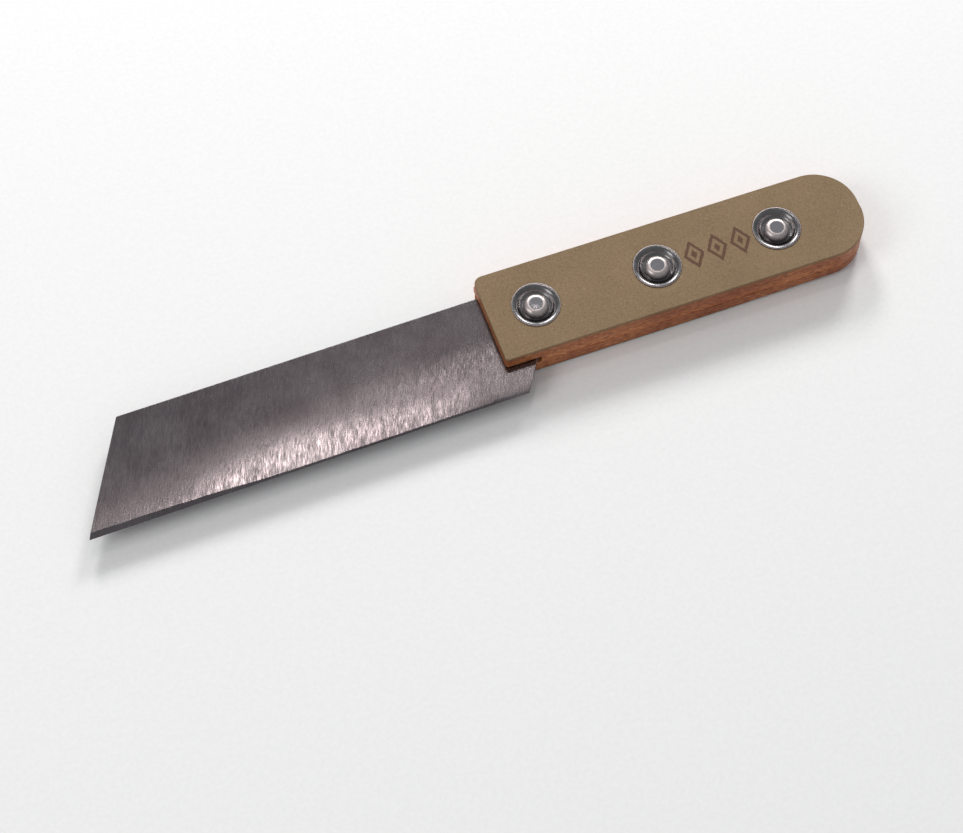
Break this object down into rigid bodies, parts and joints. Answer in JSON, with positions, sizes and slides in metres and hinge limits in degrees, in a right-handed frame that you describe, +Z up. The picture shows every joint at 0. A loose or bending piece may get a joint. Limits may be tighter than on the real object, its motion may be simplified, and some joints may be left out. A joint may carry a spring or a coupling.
{
  "type": "hacking knife",
  "caption": "Fixed flat steel blade with slanted nose and heel, riveted through cup washers into a round-ended leather handle; its thick back is struck with a hammer.",
  "frame": {"origin": "bottom centre of the bounding box, with the knife lying on its side", "axes": "+X along the handle from the blade's tip towards the butt, +Y from the cutting edge towards the blade's back, +Z up through the thickness towards the hammered rivet heads"},
  "size_m": [0.2136, 0.0348, 0.0113],
  "materials": {
    "blade_steel": "dark carbon steel, ground across the blade and oiled",
    "tan_leather": "thick oak-tanned leather with a fine buffed face",
    "core_leather": "thick leather seen on its cut and burnished edge",
    "rivet_steel": "soft bright steel, hammered on the near side",
    "cup_plate": "pressed sheet steel with bright nickel plate"
  },
  "bodies": {
    "root": {"blade": "blade_steel", "near_scale": "tan_leather", "far_scale": "tan_leather", "leather_core": "core_leather", "front_rivet": "rivet_steel", "middle_rivet": "rivet_steel", "rear_rivet": "rivet_steel", "near_front_cup": "cup_plate", "near_middle_cup": "cup_plate", "near_rear_cup": "cup_plate", "far_front_cup": "cup_plate", "far_middle_cup": "cup_plate", "far_rear_cup": "cup_plate"}
  },
  "joints": []
}
